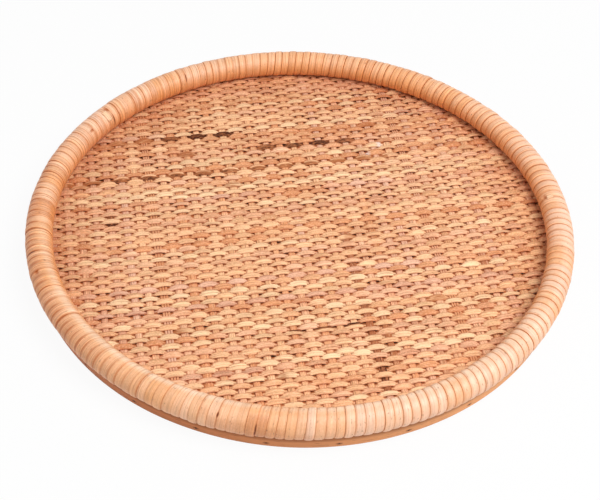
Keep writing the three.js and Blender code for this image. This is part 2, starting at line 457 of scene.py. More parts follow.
# Woven panel
# A round mat of split rattan in plain weave: flat stakes one way, narrower weavers over one and under one
# across them. The weave is turned a little in the tray, and its edge is trapped between ledge and rim.
panel_low, panel_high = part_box("woven_panel")
panel_middle = (panel_low.z + panel_high.z) / 2
panel_inset = 0.0004
panel_edge = panel_high.x - panel_inset
weave_turn = math.radians(11.4)
weft_way = np.array([math.cos(weave_turn), math.sin(weave_turn), 0.0])
warp_way = np.array([-math.sin(weave_turn), math.cos(weave_turn), 0.0])
shortest_strip = 0.012

# Stakes: their spacing, size and small faults of hand work
stake_pitch = 0.00844
stake_shift = -0.0004
stake_scatter = 0.035
stake_skew = 0.0042
stake_sway = 0.00018
stake_sway_length = 0.03
stake_width = 0.0044
stake_width_spread = 0.06
stake_width_length = 0.02
stake_thickness = 0.0009
stake_rise = 0.00014
stake_steps = 3
stake_top = [(1.0, -0.55), (0.93, -0.10), (0.66, 0.62), (0.0, 0.90)]
split_stakes = (-10, 9)
strand_share = 0.335

# Weavers: likewise, with the rows pushed along the stakes as pairs of place and shift say
weaver_pitch = 0.0033
weaver_shift = -0.00098
weaver_scatter = 0.05
row_shifts = (
    (-0.112, -0.0020),
    (-0.060, -0.0014),
    (0.000, -0.0010),
    (0.026, -0.0013),
    (0.042, -0.0021),
    (0.056, -0.0017),
    (0.070, 0.0002),
    (0.098, 0.0011),
)
row_bend = 0.0009
row_bend_start = 0.03
row_bend_full = 0.11
row_bend_power = 1.5
weaver_sway = 0.0003
weaver_sway_length = 0.012
weaver_tilt = 0.28
weaver_width = 0.0038
weaver_width_spread = 0.05
weaver_width_swing = 0.09
weaver_width_length = 0.009
under_spread = 0.36
under_wave = (-0.1, -0.7)
float_spread = 0.13
float_wave = (0.1, 0.8)
dive_wave = (-0.2, -0.5)
weaver_thickness = 0.0005
weaver_rise = 0.00070
weaver_rise_spread = 0.1
weaver_bow = 0.00004
weaver_top = [(1.0, 0.0), (0.92, 0.52), (0.60, 0.88), (0.0, 1.0)]
weaver_groups = 4
ring_shares = np.array([0.0, 0.17, 0.26, 0.36, 0.5, 0.64, 0.74, 0.83])
end_margin = 0.0005
rim_hides = 0.1455
rim_presses = 0.1475
rim_press = 0.25
crimp_flatness = 0.4
strip_under = [(-0.86, -0.80), (0.0, -1.0), (0.86, -0.80)]

# Tones of the strips and how common each is; painted shade near the rim, at their edges and undersides and in
# the corners where they dive; and how streaky they are
strip_tones = {
    "cream": np.array((0.95, 0.545, 0.290)),
    "honey": np.array((0.97, 0.635, 0.360)),
    "pink": np.array((0.91, 0.505, 0.296)),
    "clay": np.array((0.79, 0.350, 0.160)),
    "mauve": np.array((0.83, 0.465, 0.305)),
}
stake_tones = {"cream": 0.40, "pink": 0.24, "clay": 0.26, "mauve": 0.10}
stake_tone_length = 0.04
grey_stakes = (-14, -13, 6)
grey_share = 0.7
weaver_tones = {"cream": 0.46, "honey": 0.20, "pink": 0.16, "clay": 0.14, "mauve": 0.04}
back_weaver_tones = {"cream": 0.42, "honey": 0.14, "pink": 0.20, "clay": 0.17, "mauve": 0.07}
back_rows = 0.05
weaver_tone_length = 0.045
second_tone = 0.3
second_tone_swing = 1.3
lift_by_strip = 0.05
lift_along = 0.12
lift_depths = np.array((0.7, 1.2, 1.6))
# Painted shade near the rim: its browning, where it starts and is full, and how it varies round the tray
rim_shade_tint = np.array((0.20, 0.31, 0.39))
rim_shade_start = 0.095
rim_shade_full = 0.143
rim_shade_power = 1.6
rim_shade_at_back = 0.7
rim_shade_at_sides = 0.3
rim_shade_front_loss = 1.2
rim_shade_front_start = 0.2
# Painted shade: the strips' edges and undersides are warmed and darkened towards this tone.
strip_edge = (0.38, 0.044, 0.002, 1)
strip_blush = (0.93, 0.55, 0.37, 1)
edge_reach = (0.7, 1.0)
edge_power = 1.5
edge_strength = 0.75
under_strength = 0.25
under_level = -0.6
# Painted shade in the corners where a weaver dives under a stake: its reach across, the level above which it
# shows, its strength
corner_reach = (0.38, 0.68)
corner_level = -0.3
corner_shade = 0.62
strip_streak = 0.65
no_dive = np.zeros(1)

# The strips' marks: how fine along, across and from strip to strip, then how strong
cloud_stretch = (90, 0.8, 7.1)
fleck_stretch = (420, 2.3, 3.3)
split_stretch = (14, 1.7, 5.3)
line_stretch = (14, 5.5, 9.1)
mottle_stretch = (820, 3.2, 4.9)
blotch_stretch = (240, 3.0, 7.7)
fibre_depth = 1.1
pale_line_depth = 0.4
dark_line_depth = 1.3
dark_fibre_strength = 0.5
cloud_depth = 0.35
blush_strength = 0.5
blotch_depth = 3.0
stain_shade_brown_strength = 0.85
stain_shade_dark_strength = 0.95

# Stains: the part of a strip's width that each covers, then its strength at places along the strip
# Stain colours; the painted shade in the strips' corners and in the rim's open gaps is drawn in them too.
stain_shade_brown = (0.41, 0.112, 0.032, 1)
stain_shade_dark = (0.055, 0.013, 0.007, 1)
pore_brown = (0.26, 0.10, 0.045, 1)
stain_fade = 0.25
stain_swing = 0.3
whole_width = (-1.3, 1.3)
stained_weavers = {
    28: (
        whole_width,
        ((-0.118, 0.2), (-0.095, 0.3), (-0.080, 0.55), (-0.060, 0.8), (-0.034, 1.0), (-0.0275, 1.0)),
    ),
    23: (
        whole_width,
        ((-0.068, 0.0), (-0.065, 0.5), (-0.055, 0.5), (-0.052, 0.0), (-0.020, 0.0), (-0.017, 0.5))
        + ((-0.008, 0.6), (0.008, 0.85), (0.025, 1.0), (0.042, 0.8), (0.049, 0.5)),
    ),
    21: (whole_width, ((-0.067, 0.15), (-0.054, 0.15))),
    18: (
        (-1.3, 0.45),
        ((-0.134, 0.5), (-0.110, 0.75), (-0.085, 0.75), (-0.060, 0.55), (0.020, 0.5), (0.066, 0.35)),
    ),
    -24: ((0.05, 1.3), ((-0.020, 0.8), (-0.008, 1.1), (0.016, 1.2), (0.024, 0.7))),
}
stained_stakes = {
    3: (
        whole_width,
        ((-0.132, 0.5), (-0.112, 0.62), (-0.105, 0.45), (-0.101, 0.0))
        + ((-0.080, 0.3), (-0.070, 0.45), (-0.020, 0.42), (0.0, 0.3)),
    ),
    -13: (whole_width, ((0.0155, 0.0), (0.017, 0.9), (0.027, 0.9), (0.0285, 0.0))),
    -14: (whole_width, ((0.028, 0.0), (0.029, 0.5), (0.032, 0.5), (0.033, 0.0))),
}
bark_power = 6
brown_float_reach = 0.007
brown_float_range = (-0.6, 0.3)
bark_from = 0.02
bark_reach = 0.022
bark_span = (-1.0, 0.1)
bark_range = (0.0, 0.5)
chip_white = np.array((0.88, 0.74, 0.66))
chip_reach = 0.0016
pale_chips = {21: 0.0628, 19: 0.0532}


def climb(values, start, end):
    """0 at the start and before it, 1 from the end on, and straight between. The end may be the lower one."""
    return np.clip((values - start) / (end - start), 0, 1)


def plateau(values, start, full, fade, end):
    """0 outside the start and the end, 1 from full to fade."""
    return climb(values, start, full) * climb(values, end, fade)


def bump(values, middle, reach, power=2):
    """1 at the middle, fading away on both sides. A high power keeps it flat on top."""
    return np.exp(-(((values - middle) / reach) ** power))


def split_rattan(name, edge_tone, blush, fibre_stretch, mottling, dullness, gloss, splits, flecks, lines):
    """Split rattan: fibres along the strip, cloudy tone, flecks, edges darkened partly as painted shade,
    hairline splits, and stains joined by painted shade.
    """
    finish = Finish(name, Specular_IOR_Level=gloss)
    place = attribute(finish, "strip_place")
    wear_and_shade = attribute(finish, "strip_wear_and_shade")
    edge = finish.node("SeparateXYZ", {}, {0: wear_and_shade}, "X")
    streak = finish.node("SeparateXYZ", {}, {0: wear_and_shade}, "Y")
    stain_or_shade = finish.node("SeparateXYZ", {}, {0: wear_and_shade}, "Z")
    fibres = noise(finish, place, fibre_stretch, 4.0, 0.65)
    cloud = noise(finish, place, cloud_stretch, 2.0)
    fleck = ramp(finish, noise(finish, place, fleck_stretch, 1.0), 0.66, 0.76)
    drift = noise(finish, place, split_stretch, 1.0)
    split = 1 - ramp(finish, abs(drift - 0.5), 0.003, 0.016)
    line = noise(finish, place, line_stretch, 1.0)
    pale_line = lines * ramp(finish, line, 0.44, 0.38)
    dark_line = lines * ramp(finish, line, 0.56, 0.62)
    mottle = noise(finish, place, mottle_stretch, 2.0, 0.6)
    blotch = noise(finish, place, blotch_stretch, 3.0, 0.6)
    pale_fibres = streak * (fibre_depth * (fibres - 0.5) + pale_line_depth * pale_line)
    dark_fibres = streak * (ramp(finish, fibres, 0.52, 0.26) + dark_line_depth * dark_line)
    shade = 1 + pale_fibres + cloud_depth * (cloud - 0.5) + mottling * (mottle - 0.5)
    colour = dimmed(finish, attribute(finish, "strip_tone"), shade)
    blushing = blush_strength * mottling * ramp(finish, mottle, 0.48, 0.66)
    colour = blended(finish, blushing, colour, blush)
    darkened = edge + dark_fibre_strength * dark_fibres * (1 - edge)
    colour = blended(finish, darkened, colour, edge_tone)
    # Real stains and painted shade in corners and gaps darken the strip alike.
    soaked_or_shaded = stain_or_shade * (1 + blotch_depth * (blotch - 0.5) + (mottle - 0.5))
    colour = blended(finish, stain_shade_brown_strength * ramp(finish, soaked_or_shaded, 0.05, 0.42), colour, stain_shade_brown)
    colour = blended(finish, stain_shade_dark_strength * ramp(finish, soaked_or_shaded, 0.45, 1.0), colour, stain_shade_dark)
    colour = blended(finish, splits * split + flecks * fleck, colour, pore_brown)
    finish.varies(
        Base_Color=colour,
        Roughness=dullness + 0.22 * fibres,
        Normal=roughened(finish, fibres - 0.5 * fleck - split, 0.4, 0.0002),
    )
    return finish


def strip_section(top):
    """A whole strip from the right half of its top, as shares of its half width and half thickness."""
    left = [(-x, y) for x, y in reversed(top[:-1])]
    return np.array(top + left + strip_under)


def strip_run(line, widths, thickness, section, number, tone, stain_or_shade=0.0, dive=no_dive):
    """A flat strip as a run for swept_piece, from its line: the middle, the sideways and the upward of each
    ring. Its edges and underside are warmed and darkened as painted shade, and its corners are painted
    dark as shade where it dives under another strip."""
    middles, sides, ups = line
    across = section[None, :, 0, None] * widths[:, None, None] / 2
    above = section[None, :, 1, None] * thickness / 2
    points = middles[:, None, :] + across * sides[:, None, :] + above * ups[:, None, :]
    steps = np.linalg.norm(np.diff(middles, axis=0), axis=1)
    along = np.concatenate([[0], np.cumsum(steps)])
    place = np.stack(
        [
            np.broadcast_to(along[:, None], points.shape[:2]),
            np.broadcast_to(section[None, :, 0], points.shape[:2]),
            np.full(points.shape[:2], float(number)),
        ],
        axis=-1,
    )
    outward = np.abs(section[:, 0])
    level = section[:, 1]
    # Painted shade: darker towards the edges and on the underside.
    edge = climb(outward, *edge_reach) ** edge_power * edge_strength
    edge = np.maximum(edge, under_strength * (level < under_level))
    # Painted shade: dark corners where the strip dives under a stake.
    corner = dive[:, None] * (climb(outward, *corner_reach) * (level > corner_level))[None, :]
    wear_and_shade = np.zeros(points.shape)
    wear_and_shade[..., 0] = np.maximum(edge[None, :], corner)
    wear_and_shade[..., 1] = strip_streak
    wear_and_shade[..., 2] = np.maximum(stain_or_shade, corner_shade * corner)
    return points, place, tone[:, None, :], wear_and_shade


def tilted(sides, ups, tilt):
    """The frame of a strip rolled a little about its own length."""
    turned_sides = sides * np.cos(tilt)[:, None] + ups * np.sin(tilt)[:, None]
    turned_ups = ups * np.cos(tilt)[:, None] - sides * np.sin(tilt)[:, None]
    return turned_sides, turned_ups


def strip_shades(draw, places, tone_shares, spacing):
    """A strip's tone along its length: a main tone with stretches of a second, some lighter, some darker."""
    main, other = draw.choice(list(tone_shares), 2, p=list(tone_shares.values()))
    share = np.clip(second_tone + second_tone_swing * smooth_noise(draw, places, spacing), 0, 1)
    tone = mixed(strip_tones[main], strip_tones[other], share)
    lift = 1 + lift_by_strip * draw.normal() + lift_along * smooth_noise(draw, places, stake_pitch)
    return tone * lift[:, None] ** lift_depths


def shaded_by_rim(tone, middles):
    """The tone with painted shade from the rim: browner towards the rim at the back and most of all at the
    sides.
    """
    azimuth = np.arctan2(middles[:, 1], middles[:, 0])
    radius = np.hypot(middles[:, 0], middles[:, 1])
    forward = np.clip(-np.sin(azimuth) - rim_shade_front_start, 0, 1)
    place_share = rim_shade_at_back + rim_shade_at_sides * np.abs(np.cos(azimuth)) - rim_shade_front_loss * forward
    share = climb(radius, rim_shade_start, rim_shade_full) ** rim_shade_power * np.clip(place_share, 0, 1)
    return tone * (1 - share[:, None] * rim_shade_tint)


def stained(places, across, stains, number):
    """How stained a strip is at each point, where one of the stains lies on it."""
    if number not in stains:
        return np.zeros((len(places), len(across)))
    (low, high), profile = stains[number]
    strength = np.interp(places, *zip(*profile), left=0, right=0)
    strength = strength * (1 + stain_swing * smooth_noise(stain_draw, places, stake_pitch))
    cover = plateau(across, low, low + stain_fade, high - stain_fade, high)
    return strength[:, None] * cover[None, :]


def brown_float(places, half_length):
    """A short brown stretch that some weavers have, where old bark was left on the strip."""
    middle = stain_draw.uniform(-half_length, half_length)
    strength = max(stain_draw.uniform(*brown_float_range), 0)
    return strength * bump(places, middle, brown_float_reach, bark_power)


def bark_stretch(places, half_length):
    """A longer, fainter stretch of old bark on a stake."""
    middle = bark_draw.uniform(*bark_span) * half_length
    strength = bark_draw.uniform(*bark_range)
    return strength * bump(places, middle, bark_reach, bark_power)


def half_chord(place):
    """Half the length of a strip that lies across the round panel at a place."""
    return math.sqrt(max(panel_edge**2 - place**2, 0))


def row_shift(place):
    """How far the weavers near a place are pushed along the stakes."""
    return np.interp(place, *zip(*row_shifts))


def row_spacing(place):
    """How far apart the weavers lie near a place, as a share of their usual spacing."""
    reach = 2 * weaver_pitch
    return 1 + (row_shift(place + reach) - row_shift(place - reach)) / (2 * reach)


def crimp(places, crossings, numbers):
    """The wave of a strip over and under those that it crosses, 1 to -1: flat on top with a quick dive."""
    wave = np.cos(math.pi * np.interp(places, crossings, numbers))
    return (1 - crimp_flatness) * wave + crimp_flatness * np.sin(math.pi / 2 * wave)


def weaver_rings(half_length, crossings):
    """Where a weaver has its rings: closest together where it dives from over one stake to under the next."""
    places = (crossings[:-1, None] + np.diff(crossings)[:, None] * ring_shares).ravel()
    inside = places[np.abs(places) < half_length - end_margin]
    return np.concatenate([[-half_length], inside, [half_length]])


stake_finish = split_rattan(
    "stake_rattan",
    strip_edge,
    strip_blush,
    fibre_stretch=(50, 4.0, 13.7),
    mottling=0.9,
    dullness=0.6,
    gloss=0.08,
    splits=0.5,
    flecks=0.3,
    lines=0.5,
)
weaver_finish = split_rattan(
    "weaver_rattan",
    strip_edge,
    strip_blush,
    fibre_stretch=(60, 3.2, 13.7),
    mottling=0.9,
    dullness=0.55,
    gloss=0.08,
    splits=0.3,
    flecks=0.3,
    lines=0.5,
)
weave_draw = np.random.default_rng(40)
stain_draw = np.random.default_rng(5)
bark_draw = np.random.default_rng(8)
half_stakes = int(panel_edge / stake_pitch)
half_weavers = int(panel_edge / weaver_pitch)
stake_numbers = np.arange(-half_stakes - 2, half_stakes + 3)
weaver_numbers = np.arange(-half_weavers - 2, half_weavers + 3)
stake_places = stake_numbers + stake_scatter * weave_draw.normal(size=len(stake_numbers))
stake_places = stake_shift + stake_pitch * stake_places
weaver_places = weaver_numbers + weaver_scatter * weave_draw.normal(size=len(weaver_numbers))
weaver_places = weaver_shift + weaver_pitch * weaver_places
weaver_places = weaver_places + row_shift(weaver_places)

stake_section = strip_section(stake_top)
stake_runs = []
for number, place in zip(stake_numbers, stake_places):
    half_length = half_chord(place)
    if half_length < shortest_strip:
        continue
    rings = round(2 * half_length / weaver_pitch * stake_steps) + 1
    along = np.linspace(-half_length, half_length, rings)
    wave = crimp(along, weaver_places, weaver_numbers) * (-1) ** (number % 2)
    height = panel_middle - stake_rise * wave
    sway = stake_sway * smooth_noise(weave_draw, along, stake_sway_length)
    beside = place + stake_skew * along + sway
    middles = weft_way * beside[:, None] + warp_way * along[:, None] + straight_up * height[:, None]
    sides = np.broadcast_to(-weft_way, middles.shape)
    ups = np.broadcast_to(straight_up, middles.shape)
    own_width = stake_width * (1 + stake_width_spread * weave_draw.normal())
    widths = own_width * (1 + stake_width_spread * smooth_noise(weave_draw, along, stake_width_length))
    tone = strip_shades(weave_draw, along, stake_tones, stake_tone_length)
    if number in grey_stakes:
        tone = mixed(tone, strip_tones["mauve"], grey_share)
    tone = shaded_by_rim(tone, middles)
    stain_or_shade = stained(along, stake_section[:, 0], stained_stakes, number)
    if place > bark_from:
        stain_or_shade = np.maximum(stain_or_shade, bark_stretch(along, half_length)[:, None])
    strands = (0.0,)
    strand_widths = widths
    if number in split_stakes:
        strands = (-strand_share, 0.0, strand_share)
        strand_widths = widths * strand_share
    for strand in strands:
        line = (middles + sides * (strand * widths)[:, None], sides, ups)
        run = strip_run(line, strand_widths, stake_thickness, stake_section, number, tone, stain_or_shade)
        stake_runs.append(run)
stakes = swept_piece("panel_stakes", stake_runs, stake_finish)
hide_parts("woven_panel")

weaver_section = strip_section(weaver_top)
weaver_runs = []
for number, place in zip(weaver_numbers, weaver_places):
    half_length = half_chord(place)
    if half_length < shortest_strip:
        continue
    crossings = stake_places + stake_skew * place
    along = weaver_rings(half_length, crossings)
    wave = crimp(along, crossings, stake_numbers) * (-1) ** (number % 2)
    rise = weaver_rise * (1 - rim_press * climb(np.hypot(along, place), rim_hides, rim_presses))
    rise = rise * (1 + weaver_rise_spread * smooth_noise(weave_draw, along, stake_pitch))
    height = panel_middle + rise * wave
    bend = row_bend * climb(along, row_bend_start, row_bend_full) ** row_bend_power
    sway = weaver_sway * smooth_noise(weave_draw, along, weaver_sway_length)
    beside = place + bend + weaver_bow * wave + sway
    middles = weft_way * along[:, None] + warp_way * beside[:, None] + straight_up * height[:, None]
    level_sides = np.broadcast_to(warp_way, middles.shape)
    level_ups = np.broadcast_to(straight_up, middles.shape)
    tilt = weaver_tilt * smooth_noise(weave_draw, along, stake_pitch)
    sides, ups = tilted(level_sides, level_ups, tilt)
    own_width = weaver_width * (1 + weaver_width_spread * weave_draw.normal()) * row_spacing(place)
    widths = own_width * (1 + weaver_width_swing * smooth_noise(weave_draw, along, weaver_width_length))
    widths = widths * (1 + under_spread * climb(wave, *under_wave))
    widths = widths * (1 + float_spread * climb(wave, *float_wave))
    tone_shares = back_weaver_tones if place > back_rows else weaver_tones
    tone = shaded_by_rim(strip_shades(weave_draw, along, tone_shares, weaver_tone_length), middles)
    if number in pale_chips:
        tone = mixed(tone, chip_white, bump(along, pale_chips[number], chip_reach))
    stain_or_shade = stained(along, weaver_section[:, 0], stained_weavers, number)
    stain_or_shade = np.maximum(stain_or_shade, brown_float(along, half_length)[:, None])
    dive = climb(wave, *dive_wave)
    line = (middles, sides, ups)
    run = strip_run(line, widths, weaver_thickness, weaver_section, number, tone, stain_or_shade, dive)
    weaver_runs.append(run)
for group in range(weaver_groups):
    weavers = swept_piece(f"panel_weavers_{group + 1}", weaver_runs[group::weaver_groups], weaver_finish)
    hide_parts("woven_panel")

# Rim pole
# A round rattan pole bent into a ring under the winding, planed flat underneath where it sits on the panel.
# Only slivers of it show between the turns of cane.
pole_tan = (0.60, 0.24, 0.09, 1)
pole_dark = (0.32, 0.11, 0.04, 1)
pole_grain_stretch = (900, 900, 900)
pole_finish = Finish("pole_rattan", Specular_IOR_Level=0.35)
pole_place = pole_finish.node("TexCoord", {}, {}, "Object")
pole_grain = noise(pole_finish, pole_place, pole_grain_stretch, 4.0, 0.6)
pole_finish.varies(
    Base_Color=blended(pole_finish, pole_grain, pole_tan, pole_dark),
    Roughness=0.5 + 0.3 * pole_grain,
    Normal=roughened(pole_finish, pole_grain, 0.3, 0.0002),
)
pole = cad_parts["rim_pole"]
pole.data.materials.clear()
pole.data.materials.append(pole_finish.material)

# Cane winding
# Glossy split cane wound tightly round the pole, about two hundred turns in nine lengths. Each turn is
# crowned, leans with the winding and meets the next in a fine groove; the ends are tucked in underneath.
cane_crown = 0.0078
cane_base = 0.00665
cane_thickness = cane_crown - cane_base
least_thickness = 0.0001
rim_radius = cad_high.x - cane_crown
rim_height = cad_high.z - cane_crown
rim_seat = rim_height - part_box("cane_winding_1")[0].z
seat_sharpness = 14.0
cane_lengths = 9
turns_per_length = 22
turn_count = cane_lengths * turns_per_length
turn_angle = 2 * math.pi / turn_count
turn_steps = 60
turn_length = 0.046
turn_ease = 0.12
tucked_end = 0.012
slope_step = 0.02
cane_across = np.array([1.0, 0.955, 0.90, 0.82, 0.62, 0.32, 0.0, -0.32, -0.62, -0.82, -0.90, -0.955, -1.0])
crown_share = 0.45
cane_edge = (0.72, 1.0)
cane_groove = 0.00036
low_groove = 2.4
low_side = (0.25, 0.65)
sunward_groove = 0.9
cane_gap = 0.00003
wide_gap = 0.00008
low_bulge = 0.12
low_bulge_all_round = 0.1
low_bulge_angle = math.radians(-45)
low_bulge_azimuth = math.radians(265)
low_bulge_reach = math.radians(30)
low_bulge_power = 8

# Tones round the rim, in degrees round the tray, and round its section from the outer side up and over
cane_cream = np.array((0.92, 0.560, 0.372))
cane_tan = np.array((0.90, 0.473, 0.236))
cane_orange = np.array((0.86, 0.38, 0.135))
cane_brown = np.array((0.64, 0.240, 0.082))
cane_amber_shade = np.array((0.72, 0.25, 0.055))
crest_sheen_pale = np.array((0.96, 0.74, 0.61))
inner_crest_light = np.array((0.98, 0.76, 0.56))
cane_left_face = np.array((0.68, 0.255, 0.085))
# The seams' line colour: partly a dark joint, partly painted shade in the groove.
groove_orange = (0.50, 0.130, 0.024, 1)
cane_blush = (0.97, 0.67, 0.53, 1)
rim_azimuths = (0, 30, 60, 90, 120, 150, 180, 210, 240, 270, 300, 330)
rim_seams = (0.9, 1.0, 0.95, 0.95, 0.5, 0.55, 0.6, 0.32, 0.42, 0.6, 0.8, 0.95)
# The cream share is partly the cane's own tone and partly painted light, high on the lamp-lit right and
# front.
rim_creams = (1.0, 0.6, 0.0, 0.2, 0.5, 0.85, 0.0, 0.0, 0.0, 0.75, 1.0, 0.9)
rim_streaks = (0.38, 0.44, 0.46, 0.42, 0.5, 0.68, 0.75, 0.6, 0.35, 0.2, 0.2, 0.28)

# Toned stretches: their azimuths, their angles round the section, their tone and its strength
toned_fade = 20
toned_stretches = (
    ((44.5, 46.5), (-90, 200), cane_orange, 0.7),
    ((71.0, 75.0), (-90, 200), cane_brown, 0.45),
    ((173.0, 179.2), (-90, 200), cane_cream, 0.5),
    ((179.2, 185.0), (-90, 200), cane_brown, 0.8),
    ((251.0, 254.5), (15, 75), cane_brown, 0.35),
    ((254.5, 260.5), (-45, 45), cane_brown, 0.4),
    ((260.5, 264.2), (-60, 80), cane_brown, 0.8),
    ((264.2, 268.0), (-60, 35), cane_brown, 0.55),
    ((268.0, 273.0), (-50, 10), cane_brown, 0.35),
    ((344.5, 349.5), (-90, 200), cane_orange, 0.75),
)

# Stretches of the rim: where each starts, is full, begins to fade and ends. A browner outer face on the left;
# painted light on the inner crest at the front and along the crest; painted shade low on the inner side
# A darker, browner outer face on the left
left_face_azimuths = (152, 167, 219, 244)
left_face_angles = (95, 60)
left_face_strength = 0.7
# Painted light on the inner crest at the front
inner_crest = (88, 110, 125, 150)
inner_crest_azimuth = math.radians(270) - 0.15
inner_crest_light_strength = 0.75
front_stain = 266
front_stain_reach = 9
front_stain_strength = 0.6
# Painted shade: amber on the rim's inner side, low down
amber_shade_side = (118, 180, 235, 265)
amber_shade_strength = 0.7
# Painted sheen along the crest, strongest on the right
crest_angle = 62
crest_reach = 32
crest_sheen_strength = 0.06
lit_crest_sheen_strength = 0.32
sheen_azimuth = math.radians(10)

# What differs from turn to turn, drawn at random round these values
loose_side = (112, 122, 212, 222)
drift_spread = 0.05
lean_spread = 0.07
proud_spread = 0.0001
seam_mean = 0.93
seam_spread = 0.22
left_seam_spread = 0.4
cream_spread = 0.16
warm_mean = 0.12
warm_most = 0.75
warm_swing = 0.8
warm_swing_turns = 2.3
warm_spread = 0.16

# Marks on single turns: strong and quiet seams, open gaps and cut ends with their place and reach
strong_seams = (115, 123.5, 133.7, 137.5, 144.5, 150, 156.6, 163, 168, 170.2, 172.2, 187.2, 195.5, 208, 217)
quiet_seams = (260.0,)
quiet_seam = 0.1
open_gaps = (
    (145.2, 160, 32),
    (122.8, 135, 22),
    (168.6, 25, 40),
    (172.3, 20, 45),
    (186.9, 5, 45),
    (195.6, 45, 28),
    (256.0, 45, 10),
    (263.4, 5, 30),
)
gap_beside = 0.5
mark_power = 4
cut_ends = ((145.5, 92, 16), (153.4, 128, 6), (202.0, 55, 9), (7.6, 138, 7))
cut_beside = -0.25
cut_across = (-0.4, 4 / 15)
cut_depth = 0.0006
cut_dark = 0.9
seam_line = (0.82, 0.94)
seam_dark = 0.85
left_line_widening = 0.16
left_seam_dark = 0.5
left_seam_browning = 0.28
# Painted shade at the edges of open gaps
gap_shade = 0.8
# Painted shade: each turn's flanks warm to orange towards its seams.
flank_shade_reach = (0.3, 1.0)
flank_shade_strength = 0.65


def facing(azimuth, towards):
    """How far an azimuth faces another: 1 straight at it, 0 from a quarter turn away."""
    return np.clip(np.cos(azimuth - towards), 0, 1)


def round_rim(values):
    """A value at each turn from values every 30 degrees round the rim."""
    return np.interp(turn_degrees, rim_azimuths, values, period=360)


def seam_numbers(azimuths):
    """The turns just before the seams at these azimuths."""
    return np.round(np.radians(azimuths) / turn_angle - 1).astype(int)


cane_draw = np.random.default_rng(63)
turn_numbers = np.arange(turn_count)
turn_degrees = np.degrees(turn_numbers * turn_angle)
turn_drift = cane_draw.normal(0, drift_spread, turn_count) * (1 + plateau(turn_degrees, *loose_side))
turn_lean = cane_draw.normal(0, lean_spread, turn_count)
turn_proud = cane_draw.normal(0, proud_spread, turn_count)
turn_seam_spread = seam_spread + left_seam_spread * facing(np.radians(turn_degrees), math.pi)
turn_seam = seam_mean + turn_seam_spread * cane_draw.uniform(-1, 1, turn_count)
turn_seam = np.clip(turn_seam * round_rim(rim_seams), 0, 1)
turn_seam[seam_numbers(strong_seams)] = 1.0
turn_seam[seam_numbers(quiet_seams)] = quiet_seam
turn_streak = round_rim(rim_streaks)
turn_cream = np.clip(round_rim(rim_creams) + cream_spread * cane_draw.normal(size=turn_count), 0, 1)
turn_warm = warm_mean + warm_swing * smooth_noise(cane_draw, turn_numbers, warm_swing_turns)
turn_warm = np.clip(turn_warm + warm_spread * cane_draw.normal(size=turn_count), 0, warm_most)
turn_tone = mixed(mixed(cane_tan, cane_cream, turn_cream), cane_orange, turn_warm)


def by_turn(values, turn):
    """A value of each turn, held over the turn and eased into the next under the rim."""
    whole = np.floor(turn).astype(int)
    part = eased(climb(turn - whole, 0, turn_ease))
    part = part.reshape(part.shape + (1,) * (values.ndim - 1))
    return values[(whole - 1) % turn_count] * (1 - part) + values[whole % turn_count] * part


def turn_azimuth(turn):
    """Where round the tray the cane's middle line is after so many turns. A turn leans most on top."""
    below = np.floor(turn).astype(int)
    part = turn - below
    drift = turn_drift[below % turn_count] * (1 - part) + turn_drift[(below + 1) % turn_count] * part
    lean = turn_lean[below % turn_count] * np.sin(math.pi * part) ** 2
    return turn_angle * (turn + drift + lean)


def marked(turn, marks, beside):
    """How near each ring is to one of the marks, 0 to 1. A mark is an azimuth round the tray, an angle round
    the rim's section from its outer side and how far it reaches round the section, in degrees. It lies beside
    a turn's middle by a share of a turn."""
    nearness = np.zeros(len(turn))
    for azimuth, angle, reach in marks:
        part = (angle + 90) / 360
        ring = round(math.radians(azimuth) / turn_angle - part - beside) + part
        nearness = np.maximum(nearness, bump(turn, ring, reach / 360, mark_power))
    return nearness


def seam_after(turn):
    """The seam between each ring and the next turn: how far it gapes, its strength and half its opening."""
    gaping = marked(turn, open_gaps, gap_beside)
    strength = np.maximum(by_turn(turn_seam, turn), gaping)
    opening = (cane_gap * strength + wide_gap * gaping) / rim_radius
    return gaping, strength, opening


def rim_outline(turn, angle):
    """The section that the cane lies on, at the angles: a circle, fuller low outside, most of all at the
    front, and cut flat underneath with an eased corner."""
    around = (angle + math.pi) % (2 * math.pi) - math.pi
    front = facing(turn_angle * turn, low_bulge_azimuth) ** low_bulge_power
    fullness = low_bulge * (low_bulge_all_round + (1 - low_bulge_all_round) * front)
    full = cane_base * (1 + fullness * bump(around, low_bulge_angle, low_bulge_reach))
    below = np.maximum(-np.sin(angle), 0) / (rim_seat - cane_thickness)
    reach = (full**-seat_sharpness + below**seat_sharpness) ** (-1 / seat_sharpness)
    return np.stack([reach * np.cos(angle), reach * np.sin(angle)], -1)


def rim_outward(turn, angle):
    """The way straight out from the rim's section at the angles."""
    ahead = rim_outline(turn, angle + slope_step) - rim_outline(turn, angle - slope_step)
    ahead /= np.linalg.norm(ahead, axis=1)[:, None]
    return np.stack([ahead[:, 1], -ahead[:, 0]], -1)


def left_face_share(turn, angle):
    """How far each ring lies on the rim's darker, browner stretch: its outer face and crest on the left."""
    from_outside = (np.degrees(angle) + 90) % 360 - 90
    return plateau(np.degrees(turn_angle * turn), *left_face_azimuths) * climb(from_outside, *left_face_angles)


